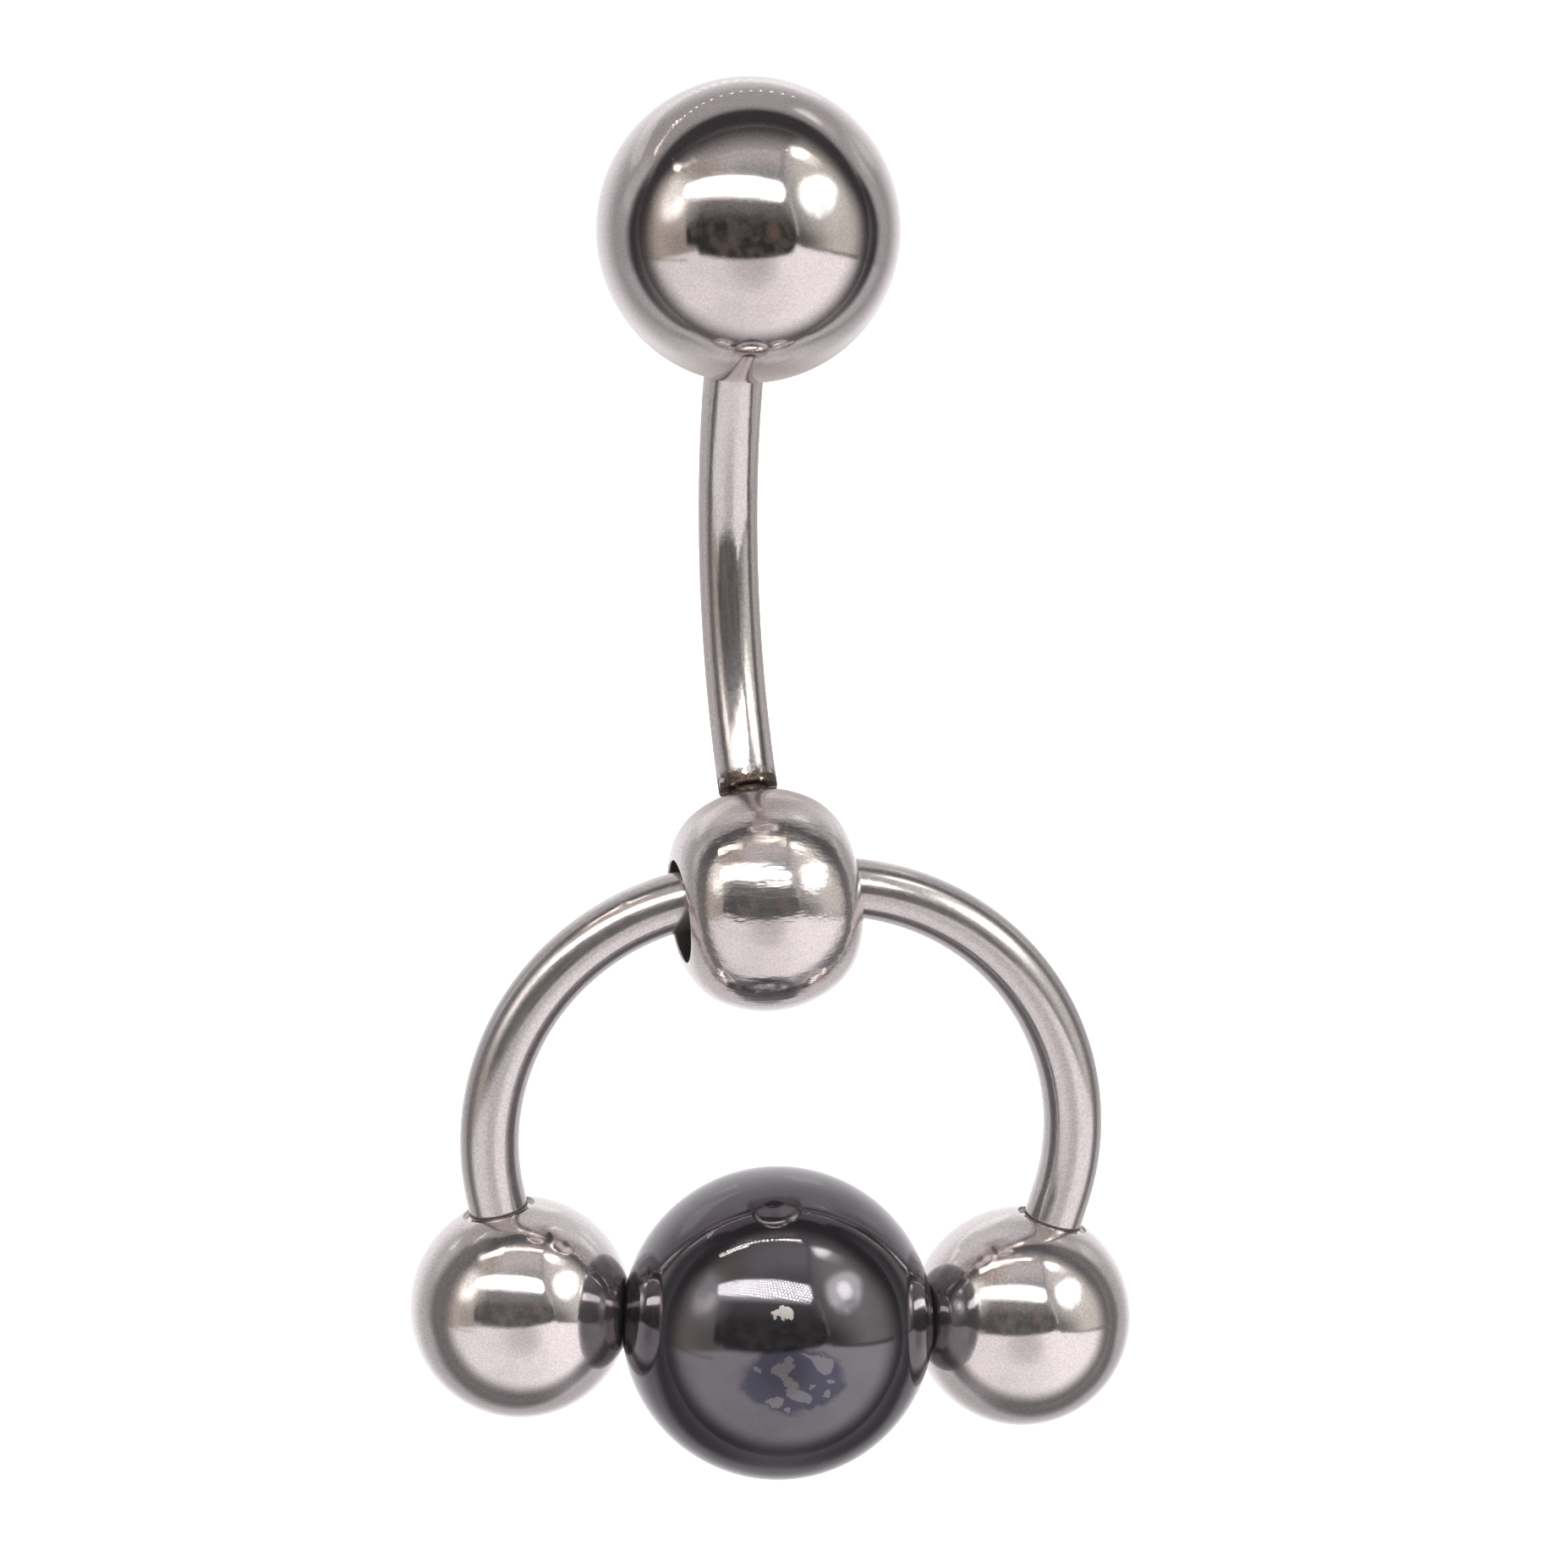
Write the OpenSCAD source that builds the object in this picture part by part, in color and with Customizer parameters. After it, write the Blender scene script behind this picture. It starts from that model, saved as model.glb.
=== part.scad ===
// Navel ring: a curved bar with a big ball at the top and a cross-drilled ball at the bottom,
// through which a bent wire hoop passes. Two small balls on the hoop's ends grip a round bead.
// Millimetres. The ring lies on a table at z = 0, seen from above, with the big ball towards +Y.
// The origin is on the table, under the middle of the whole ring.

/* [Top ball] */
// Diameter of the top ball
top_ball_d = 8; // [7.5:0.1:8.6]

/* [Bar] */
// Diameter of the bar
bar_d = 1.6; // [1.2:0.05:1.8]
// Length of the bar along its bend, from shoulder to shoulder
bar_len = 12.2; // [11:0.1:12.6]
// Radius to which the bar is bent
bar_bend_r = 12.5; // [12:0.1:15]
// Bare post that shows between the bar's lower shoulder and the drop ball
bar_neck = 0.4; // [0.15:0.05:0.8]

/* [Drop ball] */
// Diameter of the drop ball
drop_ball_d = 6; // [5.6:0.1:6.6]
// Diameter of the cross-bore that the hoop passes through
bore_d = 2.75; // [2.6:0.05:3]
// Width of the drop ball across the two mouths of its bore
bore_across = 4.8; // [4.6:0.1:5.2]
// Angle from the bore at which the mouth's round shoulder leaves the ball
bore_shoulder_angle = 60; // [50:1:65]
// How far the drop ball is screwed round its post
bore_turn = -3.5; // [-6:0.5:6]
// How far the bore is drilled off square to the post
bore_skew = -2.8; // [-4:0.1:4]

/* [Hoop] */
// Diameter of the hoop's wire
wire_d = 1.6; // [1.2:0.05:1.8]
// Radius of the hoop's two bends, at the middle of the wire
hoop_bend_r = 6.8; // [6.5:0.1:7.4]
// Straight stretch at the crown, between the two bends
hoop_crown = 2.3; // [1.5:0.1:3]
// Straight stretch between the left bend and its end ball
left_leg = 0.5; // [0.2:0.1:1.5]
// Straight stretch between the right bend and its end ball
right_leg = 0.8; // [0.2:0.1:1.5]
// How far the middle of the crown stands to the right of the middle of the bead
hoop_spring = 0.5; // [0:0.1:0.8]

/* [End balls and bead] */
// Diameter of the two end balls
end_ball_d = 6; // [5.6:0.1:6.4]
// Diameter of the bead
bead_d = 8.45; // [8:0.05:9]
// Diameter of the round seat that each end ball has in the bead
seat_d = 2.1; // [1.6:0.1:2.4]

/* [Posts and their holes] */
// Diameter of the posts at the ends of the bar and the hoop
post_d = 1.1; // [0.8:0.05:1.15]
// Length of the posts, apart from the one in the drop ball
post_len = 2; // [1.5:0.1:2.4]
// Length of the post in the drop ball, past its neck
drop_post_len = 1; // [0.7:0.05:1.1]
// Diameter of the flat-bottomed mouth of each post hole
mouth_d = 1.95; // [1.9:0.05:2.2]
// Depth of that mouth below its rim
mouth_depth = 0.12; // [0.05:0.01:0.2]

/* [Clearances] */
// Gap round a post in its hole
post_gap = 0.04; // [0.02:0.01:0.08]
// Room past the tip of a post
tip_gap = 0.2; // [0.1:0.05:0.3]
// Gap between a shoulder and the flat of its ball
shoulder_gap = 0.05; // [0.02:0.01:0.1]
// Gap between an end ball and its seat in the bead
seat_gap = 0.05; // [0.02:0.01:0.08]

/* [How it lies] */
// Lean of the bar's bend away from straight down
bar_roll = 8; // [4:0.5:12]
// Turn of the bar on the table
bar_heading = 1.6; // [-5:0.1:5]
// Turn of the line through the two end balls on the table
hoop_heading = -2.8; // [-6:0.1:2]
// Place of the middle of the crown, to the right of the drop ball's centre
crown_right = 0.2; // [0:0.05:0.4]
// Place of the middle of the crown, up the ring from the drop ball's centre
crown_up = 0.25; // [0.15:0.05:0.3]

/* [Hidden] */
$fn = 64;
slack = 1; // how far a cutter runs past the face that it cuts
lap = 0.3; // how far the core of a straight stretch runs into the bend beside it
steel = "#b9b3b1";
hematite = "#45434b";

// A vector turned about the three axes in the order x, y, z, as rotate() does it
function about_x(v, a) = [v.x, v.y * cos(a) - v.z * sin(a), v.y * sin(a) + v.z * cos(a)];
function about_y(v, a) = [v.x * cos(a) + v.z * sin(a), v.y, -v.x * sin(a) + v.z * cos(a)];
function about_z(v, a) = [v.x * cos(a) - v.y * sin(a), v.x * sin(a) + v.y * cos(a), v.z];
function turned(v, a) = about_z(about_y(about_x(v, a.x), a.y), a.z);

// Distances from a ball's centre: to the flat in its post hole, and to a shoulder on that flat
function flat_at(d) = sqrt(pow(d / 2, 2) - pow(mouth_d / 2, 2)) - mouth_depth;
function shoulder_at(d) = flat_at(d) + shoulder_gap;

// The bar in its own frame: the bend's centre is the origin, the bend hangs below it along Y
bar_half = bar_len / bar_bend_r * 90 / PI; // degrees from the middle of the bend to a shoulder
top_reach = shoulder_at(top_ball_d);
drop_reach = flat_at(drop_ball_d) + bar_neck;
top_in_bar = [0, bar_bend_r * sin(bar_half) + top_reach * cos(bar_half),
              -bar_bend_r * cos(bar_half) + top_reach * sin(bar_half)];
drop_in_bar = [0, -bar_bend_r * sin(bar_half) - drop_reach * cos(bar_half),
               -bar_bend_r * cos(bar_half) + drop_reach * sin(bar_half)];

// The bar lies on the belly of its bend and on the top ball
bend_height = bar_bend_r * cos(bar_roll) + bar_d / 2;
top_from_bend = norm(top_in_bar);
bar_pitch = atan2(top_in_bar.y, -top_in_bar.z)
            - acos((bend_height - top_ball_d / 2) / (top_from_bend * cos(bar_roll)));
bar_turn = [-bar_pitch, bar_roll, bar_heading];
bend_to_drop = turned(drop_in_bar, bar_turn);
bend_to_top = turned(top_in_bar, bar_turn);

// Horizontal distance from an end ball to the bead when all of them touch the table
seat_reach = sqrt(pow(bead_d / 2, 2) - pow(seat_d / 2, 2))
             + sqrt(pow(end_ball_d / 2 + seat_gap, 2) - pow(seat_d / 2, 2));
grip = sqrt(pow(seat_reach, 2) - pow((bead_d - end_ball_d) / 2, 2));

// The hoop in its own frame: the crown lies along X through the origin, the ends are below it
left_reach = shoulder_at(end_ball_d) + left_leg;
right_reach = shoulder_at(end_ball_d) + right_leg;
// Angle that a bend goes on past straight down, for an end ball at distance x beside the crown
function wrap(x, reach) = acos((x - hoop_crown / 2) / norm([hoop_bend_r, reach])) - atan2(reach, hoop_bend_r);
left_wrap = wrap(grip + hoop_spring, left_reach);
right_wrap = wrap(grip - hoop_spring, right_reach);
function end_ball_x(w, reach) = hoop_crown / 2 + hoop_bend_r * cos(w) - reach * sin(w);
function end_ball_y(w, reach) = -hoop_bend_r * (1 + sin(w)) - reach * cos(w);
left_in_hoop = [-end_ball_x(left_wrap, left_reach), end_ball_y(left_wrap, left_reach), 0];
right_in_hoop = [end_ball_x(right_wrap, right_reach), end_ball_y(right_wrap, right_reach), 0];

// The hoop is turned in its plane until its end balls are level, and tilted until they touch
ends_slope = atan2(right_in_hoop.y - left_in_hoop.y, right_in_hoop.x - left_in_hoop.x);
ends_below_crown = -about_z(left_in_hoop, -ends_slope).y;
drop_height = bend_height + bend_to_drop.z;
hoop_tilt = asin((drop_height - end_ball_d / 2) / ends_below_crown);
hoop_turn = [hoop_tilt, 0, hoop_heading];
function hoop_to_table(v) = turned(about_z(v, -ends_slope), hoop_turn);

// Places on the table, first from the drop ball and then from the middle of the whole ring
crown_from_drop = [crown_right, crown_up, 0];
left_from_drop = crown_from_drop + hoop_to_table(left_in_hoop);
right_from_drop = crown_from_drop + hoop_to_table(right_in_hoop);
bead_from_drop = (left_from_drop + right_from_drop) / 2;
top_from_drop = bend_to_top - bend_to_drop;
ring_top = top_from_drop.y + top_ball_d / 2;
ring_bottom = bead_from_drop.y - bead_d / 2;
drop_at = [-bead_from_drop.x, -(ring_top + ring_bottom) / 2, drop_height];
bend_at = drop_at - bend_to_drop;
crown_at = drop_at + crown_from_drop;
left_at = drop_at + left_from_drop;
right_at = drop_at + right_from_drop;
bead_at = [drop_at.x + bead_from_drop.x, drop_at.y + bead_from_drop.y, bead_d / 2];

// A ball at the origin with a hole for a post that comes in along Z from above
module screwed_ball(d, depth) {
    difference() {
        sphere(d = d);
        translate([0, 0, flat_at(d)]) cylinder(d = mouth_d, h = d / 2);
        translate([0, 0, flat_at(d) - depth - tip_gap])
            cylinder(d = post_d + 2 * post_gap, h = depth + tip_gap + slack);
    }
}

// A bend of round wire round the Z axis, from the X axis through the angle
module wire_bend(r, d, angle) {
    rotate_extrude(angle = angle) translate([r, 0]) circle(d = d);
}

// What belongs to the bar is built in the bar's frame and laid on the table
module on_bar() {
    translate(bend_at) rotate(bar_turn) children();
}

// What belongs to the hoop is built in the hoop's frame and laid on the table
module on_hoop() {
    translate(crown_at) rotate(hoop_turn) rotate([0, 0, -ends_slope]) children();
}

// The bent bar with a thinner post at each end
module bar() {
    color(steel) on_bar() {
        rotate([0, 90, 0]) rotate([0, 0, -bar_half]) wire_bend(bar_bend_r, bar_d, 2 * bar_half);
        translate([0, bar_bend_r * sin(bar_half), -bar_bend_r * cos(bar_half)])
            rotate([bar_half - 90, 0, 0]) cylinder(d = post_d, h = shoulder_gap + post_len);
        translate([0, -bar_bend_r * sin(bar_half), -bar_bend_r * cos(bar_half)])
            rotate([90 - bar_half, 0, 0]) cylinder(d = post_d, h = bar_neck + drop_post_len);
    }
}

module top_ball() {
    color(steel) on_bar() translate(top_in_bar) rotate([bar_half + 90, 0, 0])
        screwed_ball(top_ball_d, post_len);
}

// Half outline of the drop ball beside its bore: the ball, then a smaller round shoulder
module drop_outline() {
    ball_r = drop_ball_d / 2;
    shoulder_r = (bore_across / 2 - ball_r * cos(bore_shoulder_angle)) / (1 - cos(bore_shoulder_angle));
    beside = (ball_r - shoulder_r) * sin(bore_shoulder_angle);
    along = (ball_r - shoulder_r) * cos(bore_shoulder_angle);
    far = 2 * ball_r;
    edge = [far * sin(bore_shoulder_angle), far * cos(bore_shoulder_angle)];
    intersection() {
        circle(r = ball_r);
        polygon([[0, 0], edge, [edge.x, -edge.y]]);
    }
    for (side = [1, -1]) intersection() {
        translate([beside, side * along]) circle(r = shoulder_r);
        polygon([[0, 0], [edge.x, side * edge.y], [0, side * far]]);
    }
}

// The cross-drilled ball: its bore lies along X before it is turned and skewed
module drop_ball() {
    color(steel) on_bar() translate(drop_in_bar) rotate([-90 - bar_half, 0, 0]) difference() {
        rotate([0, 0, bore_turn]) rotate([0, bore_skew, 0]) rotate([0, 90, 0]) difference() {
            rotate_extrude() intersection() {
                drop_outline();
                translate([0, -drop_ball_d / 2]) square(drop_ball_d);
            }
            cylinder(d = bore_d, h = 2 * drop_ball_d, center = true);
        }
        translate([0, 0, flat_at(drop_ball_d)]) cylinder(d = mouth_d, h = drop_ball_d);
        cylinder(d = post_d + 2 * post_gap, h = drop_ball_d);
    }
}

// The hoop: a straight crown, two bends, two short legs and two posts
module hoop() {
    color(steel) on_hoop() {
        rotate([0, 90, 0]) cylinder(d = wire_d, h = hoop_crown, center = true);
        rotate([0, 90, 0]) cylinder(d = post_d, h = hoop_crown + 2 * lap, center = true);
        translate([-hoop_crown / 2, -hoop_bend_r, 0]) rotate([0, 0, 90])
            wire_bend(hoop_bend_r, wire_d, 90 + left_wrap);
        translate([hoop_crown / 2, -hoop_bend_r, 0]) rotate([0, 0, -right_wrap])
            wire_bend(hoop_bend_r, wire_d, 90 + right_wrap);
        translate(left_in_hoop) rotate([-90, 0, left_wrap]) hoop_end(left_leg);
        translate(right_in_hoop) rotate([-90, 0, -right_wrap]) hoop_end(right_leg);
    }
}

// The straight leg and the post of the hoop, seen from its end ball's centre along Z
module hoop_end(leg) {
    translate([0, 0, shoulder_at(end_ball_d)]) cylinder(d = wire_d, h = leg);
    translate([0, 0, flat_at(end_ball_d) - post_len])
        cylinder(d = post_d, h = post_len + shoulder_gap + leg + lap);
}

module left_end_ball() {
    color(steel) on_hoop() translate(left_in_hoop) rotate([-90, 0, left_wrap])
        screwed_ball(end_ball_d, post_len);
}

module right_end_ball() {
    color(steel) on_hoop() translate(right_in_hoop) rotate([-90, 0, -right_wrap])
        screwed_ball(end_ball_d, post_len);
}

// The bead, with a round seat where each end ball presses
module bead() {
    color(hematite) difference() {
        translate(bead_at) sphere(d = bead_d);
        for (ball = [left_at, right_at]) translate(ball) sphere(d = end_ball_d + 2 * seat_gap);
    }
}

bar();
top_ball();
drop_ball();
hoop();
left_end_ball();
right_end_ball();
bead();
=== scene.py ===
"""The looks of a steel navel ring with a hematite bead, lying on a pale table and seen from above."""

import math

import bpy
import bmesh
from mathutils import Euler, Matrix, Vector


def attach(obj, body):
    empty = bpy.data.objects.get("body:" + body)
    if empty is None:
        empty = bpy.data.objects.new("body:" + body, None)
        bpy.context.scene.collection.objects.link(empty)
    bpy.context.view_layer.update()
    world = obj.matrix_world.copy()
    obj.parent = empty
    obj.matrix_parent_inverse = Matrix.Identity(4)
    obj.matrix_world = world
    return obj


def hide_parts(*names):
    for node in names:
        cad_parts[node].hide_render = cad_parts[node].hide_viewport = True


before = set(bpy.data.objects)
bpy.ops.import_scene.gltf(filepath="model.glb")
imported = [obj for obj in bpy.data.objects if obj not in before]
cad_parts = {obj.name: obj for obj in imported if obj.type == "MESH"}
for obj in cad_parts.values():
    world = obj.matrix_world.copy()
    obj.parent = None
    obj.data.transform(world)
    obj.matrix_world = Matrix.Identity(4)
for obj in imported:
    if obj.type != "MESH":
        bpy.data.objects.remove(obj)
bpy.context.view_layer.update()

MM = 0.001

# Sizes of the ring in millimetres, as in the part's source
TOP_BALL_D = 8.0
DROP_BALL_D = 6.0
END_BALL_D = 6.0
BEAD_D = 8.45
BAR_D = 1.6
BAR_LENGTH = 12.2
BAR_BEND = 12.5
BAR_NECK = 0.4
BORE_D = 2.75
BORE_ACROSS = 4.8
BORE_SHOULDER = 60.0
BORE_TURN = -3.5
BORE_SKEW = -2.8
WIRE_D = 1.6
HOOP_BEND = 6.8
HOOP_CROWN = 2.3
LEFT_LEG = 0.5
RIGHT_LEG = 0.8
HOOP_SPRING = 0.5
SEAT_D = 2.1
POST_D = 1.1
POST_LENGTH = 2.0
DROP_POST_LENGTH = 1.0
MOUTH_D = 1.95
MOUTH_DEPTH = 0.12
POST_GAP = 0.04
TIP_GAP = 0.2
SHOULDER_GAP = 0.05
SEAT_GAP = 0.05
BAR_ROLL = 8.0
BAR_HEADING = 1.6
HOOP_HEADING = -2.8
CROWN_RIGHT = 0.2
CROWN_UP = 0.25


def turn(x, y, z):
    """A turn about X, then Y, then Z, in degrees."""
    return Euler((math.radians(x), math.radians(y), math.radians(z)), "XYZ").to_matrix()


def placed(place, turned):
    return Matrix.Translation(place) @ turned.to_4x4()


# How the ring lies, worked out from its sizes as in the part's source


def flat_at(ball_d):
    """Distance from a ball's centre to the flat in its post hole."""
    return math.sqrt((ball_d / 2) ** 2 - (MOUTH_D / 2) ** 2) - MOUTH_DEPTH


def shoulder_at(ball_d):
    return flat_at(ball_d) + SHOULDER_GAP


bar_half = BAR_LENGTH / BAR_BEND / 2
top_reach = shoulder_at(TOP_BALL_D)
drop_reach = flat_at(DROP_BALL_D) + BAR_NECK
top_in_bar = Vector((0, BAR_BEND * math.sin(bar_half) + top_reach * math.cos(bar_half),
                     -BAR_BEND * math.cos(bar_half) + top_reach * math.sin(bar_half)))
drop_in_bar = Vector((0, -BAR_BEND * math.sin(bar_half) - drop_reach * math.cos(bar_half),
                      -BAR_BEND * math.cos(bar_half) + drop_reach * math.sin(bar_half)))
roll = math.cos(math.radians(BAR_ROLL))
bend_height = BAR_BEND * roll + BAR_D / 2
bar_pitch = math.degrees(math.atan2(top_in_bar.y, -top_in_bar.z)
                         - math.acos((bend_height - TOP_BALL_D / 2) / (top_in_bar.length * roll)))
bar_turn = turn(-bar_pitch, BAR_ROLL, BAR_HEADING)
drop_height = bend_height + (bar_turn @ drop_in_bar).z

seat_reach = (math.sqrt((BEAD_D / 2) ** 2 - (SEAT_D / 2) ** 2)
              + math.sqrt((END_BALL_D / 2 + SEAT_GAP) ** 2 - (SEAT_D / 2) ** 2))
grip = math.sqrt(seat_reach ** 2 - ((BEAD_D - END_BALL_D) / 2) ** 2)


def hoop_side(side, beside, leg):
    """How far a bend goes past straight down, and its end ball's place in the hoop's frame."""
    reach = shoulder_at(END_BALL_D) + leg
    wrap = (math.acos((beside - HOOP_CROWN / 2) / math.hypot(HOOP_BEND, reach))
            - math.atan2(reach, HOOP_BEND))
    ball = Vector((side * (HOOP_CROWN / 2 + HOOP_BEND * math.cos(wrap) - reach * math.sin(wrap)),
                   -HOOP_BEND * (1 + math.sin(wrap)) - reach * math.cos(wrap), 0))
    return wrap, ball


left_wrap, left_in_hoop = hoop_side(-1, grip + HOOP_SPRING, LEFT_LEG)
right_wrap, right_in_hoop = hoop_side(1, grip - HOOP_SPRING, RIGHT_LEG)
ends = right_in_hoop - left_in_hoop
ends_level = turn(0, 0, -math.degrees(math.atan2(ends.y, ends.x)))
hoop_tilt = math.degrees(math.asin((drop_height - END_BALL_D / 2) / -(ends_level @ left_in_hoop).y))
hoop_turn = turn(hoop_tilt, 0, HOOP_HEADING) @ ends_level

crown_from_drop = Vector((CROWN_RIGHT, CROWN_UP, 0))
left_from_drop = crown_from_drop + hoop_turn @ left_in_hoop
right_from_drop = crown_from_drop + hoop_turn @ right_in_hoop
bead_from_drop = (left_from_drop + right_from_drop) / 2
top_from_drop = bar_turn @ (top_in_bar - drop_in_bar)
ring_top = top_from_drop.y + TOP_BALL_D / 2
ring_bottom = bead_from_drop.y - BEAD_D / 2
drop_at = Vector((-bead_from_drop.x, -(ring_top + ring_bottom) / 2, drop_height))
bead_at = Vector((0, drop_at.y + bead_from_drop.y, BEAD_D / 2))

bar_place = placed(drop_at - bar_turn @ drop_in_bar, bar_turn)
hoop_place = placed(drop_at + crown_from_drop, hoop_turn)
half_degrees = math.degrees(bar_half)
# Each ball's own frame has its post hole along +Z
top_ball_place = bar_place @ placed(top_in_bar, turn(half_degrees + 90, 0, 0))
drop_ball_place = bar_place @ placed(drop_in_bar, turn(-90 - half_degrees, 0, 0))
left_ball_place = hoop_place @ placed(left_in_hoop, turn(-90, 0, math.degrees(left_wrap)))
right_ball_place = hoop_place @ placed(right_in_hoop, turn(-90, 0, -math.degrees(right_wrap)))
bore_place = drop_ball_place @ (turn(0, 0, BORE_TURN) @ turn(0, BORE_SKEW, 0)
                                @ turn(0, 90, 0)).to_4x4()


# Camera: where the photograph was taken from, 125 mm above the middle of the ring

CAMERA_AIM = Vector((0.316, -0.026, 3.0))
CAMERA_DISTANCE = 125.0
CAMERA_LEFT = 6.6
CAMERA_UP = 8.3
CAMERA_LENS = 106.81

lean_left = math.sin(math.radians(CAMERA_LEFT))
lean_up = math.sin(math.radians(CAMERA_UP))
to_camera = Vector((-lean_left, lean_up, math.sqrt(1 - lean_left ** 2 - lean_up ** 2)))
camera_right = (-to_camera).cross(Vector((0, 1, 0))).normalized()
camera_up = camera_right.cross(-to_camera)

camera_data = bpy.data.cameras.new("camera")
camera_data.sensor_width = 36.0
camera_data.lens = CAMERA_LENS
camera_data.clip_start = 0.01
camera_data.clip_end = 10.0
camera = bpy.data.objects.new("camera", camera_data)
camera.matrix_world = (Matrix.Translation((CAMERA_AIM + CAMERA_DISTANCE * to_camera) * MM)
                       @ Matrix((camera_right, camera_up, to_camera)).transposed().to_4x4())
bpy.context.scene.collection.objects.link(camera)
bpy.context.scene.camera = camera
bpy.context.scene.view_settings.view_transform = "Standard"


# Nodes, written as short calls


class Nodes:
    """The nodes of one material, world or node group. Most calls add a node and give its output."""

    def __init__(self, tree):
        self.tree = tree
        tree.nodes.clear()

    def feed(self, target, value):
        if isinstance(value, bpy.types.NodeSocket):
            self.tree.links.new(value, target)
        else:
            target.default_value = value

    def node(self, kind, *values, out=0, settings=None, **inputs):
        """Values go into the first sockets in their order, inputs into the sockets of those names."""
        made = self.tree.nodes.new(kind)
        for name, value in (settings or {}).items():
            setattr(made, name, value)
        for target, value in zip(made.inputs, values):
            self.feed(target, value)
        for name, value in inputs.items():
            self.feed(made.inputs[name.replace("_", " ")], value)
        return made.outputs[out]

    def end(self, kind, result):
        """Ends the tree in an output node."""
        self.feed(self.tree.nodes.new(kind).inputs[0], result)

    def math(self, operation, a, b=0.0, clamp=False):
        return self.node("ShaderNodeMath", a, b, settings={"operation": operation, "use_clamp": clamp})

    def plus(self, a, b):
        return self.math("ADD", a, b)

    def minus(self, a, b):
        return self.math("SUBTRACT", a, b)

    def times(self, a, b):
        return self.math("MULTIPLY", a, b)

    def length(self, a, b):
        """How long a line is that goes this far one way and that far across."""
        return self.math("SQRT", self.plus(self.times(a, a), self.times(b, b)))

    def turned(self, a, b, angle):
        """Two coordinates as read from axes that are turned by an angle in degrees."""
        c, s = math.cos(math.radians(angle)), math.sin(math.radians(angle))
        return (self.plus(self.times(a, c), self.times(b, s)),
                self.minus(self.times(b, c), self.times(a, s)))

    def vector(self, operation, *values, out="Vector", **inputs):
        return self.node("ShaderNodeVectorMath", *values, out=out, settings={"operation": operation},
                         **inputs)

    def dot(self, a, b):
        return self.vector("DOT_PRODUCT", a, b, out="Value")

    def step(self, value, low, high, start=0.0, end=1.0):
        """A smooth step from start at low to end at high."""
        return self.node("ShaderNodeMapRange", value, low, high, start, end,
                         settings={"interpolation_type": "SMOOTHSTEP"})

    def mix(self, factor, a, b):
        """Two colours mixed by a factor."""
        made = self.tree.nodes.new("ShaderNodeMix")
        made.data_type = "RGBA"
        for target, value in zip((made.inputs[0], made.inputs[6], made.inputs[7]), (factor, a, b)):
            self.feed(target, (*value, 1) if isinstance(value, tuple) else value)
        return made.outputs[2]

    def noise(self, vector, scale, detail=2.0, roughness=0.5, distortion=0.0):
        return self.node("ShaderNodeTexNoise", Vector=vector, Scale=scale, Detail=detail,
                         Roughness=roughness, Distortion=distortion)

    def attribute(self, name, out):
        return self.node("ShaderNodeAttribute", out=out, settings={"attribute_name": name})

    def place(self):
        """The point of the surface, in its object's own coordinates."""
        return self.node("ShaderNodeTexCoord", out="Object")


def new_material(name):
    made = bpy.data.materials.new(name)
    made.use_nodes = True
    return made, Nodes(made.node_tree)


def studio_material(name):
    """A material that may glow but isn't sampled as a lamp."""
    made, shader = new_material(name)
    made.cycles.emission_sampling = "NONE"
    return made, shader


def glow(shader, tone, strength=1.0):
    return shader.node("ShaderNodeEmission", Color=tone, Strength=strength)


def fading_glow(shader, tone, solid):
    """Ends a material that glows where it is solid and is clear elsewhere."""
    clear = shader.node("ShaderNodeBsdfTransparent")
    shader.end("ShaderNodeOutputMaterial",
               shader.node("ShaderNodeMixShader", solid, clear, glow(shader, tone)))


# The studio: a small white tent over a table, seen only in the polished surfaces. The tent is no lamp: it
# glows with painted light and shade


def toward(azimuth, elevation):
    """A direction, with the azimuth counted from +X towards +Y."""
    a, e = math.radians(azimuth), math.radians(elevation)
    return Vector((math.cos(e) * math.cos(a), math.cos(e) * math.sin(a), math.sin(e)))


def panel(shader, bearing, corners, soft):
    """1 inside a panel of the tent with these corners, 0 outside, with a soft edge in degrees."""
    points = [toward(*corner) for corner in corners]
    middle = sum(points, Vector())
    width = math.radians(soft)
    inside = 1.0
    for here, there in zip(points, points[1:] + points[:1]):
        edge = here.cross(there).normalized()
        if edge.dot(middle) < 0:
            edge = -edge
        inside = shader.times(inside, shader.step(shader.dot(bearing, edge), -width, width))
    return inside


def spot(shader, bearing, middle, inner, outer):
    """1 within an angle of a direction, falling to 0 at a wider one."""
    near = shader.dot(bearing, toward(*middle))
    return shader.step(near, math.cos(math.radians(outer)), math.cos(math.radians(inner)))


def crease(shader, bearing, start, end, width):
    """1 on a thin line between two directions, 0 beside it."""
    first, last = toward(*start), toward(*end)
    across = first.cross(last).normalized()
    along = shader.math("ARCTAN2", shader.dot(bearing, across.cross(first)), shader.dot(bearing, first))
    aside = shader.math("ABSOLUTE", shader.dot(bearing, across))
    thin, length = math.radians(width), first.angle(last)
    line = shader.times(shader.step(aside, thin * 0.4, thin, 1.0, 0.0), shader.step(along, -thin, thin))
    return shader.times(line, shader.step(along, length - thin, length + thin, 1.0, 0.0))


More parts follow.
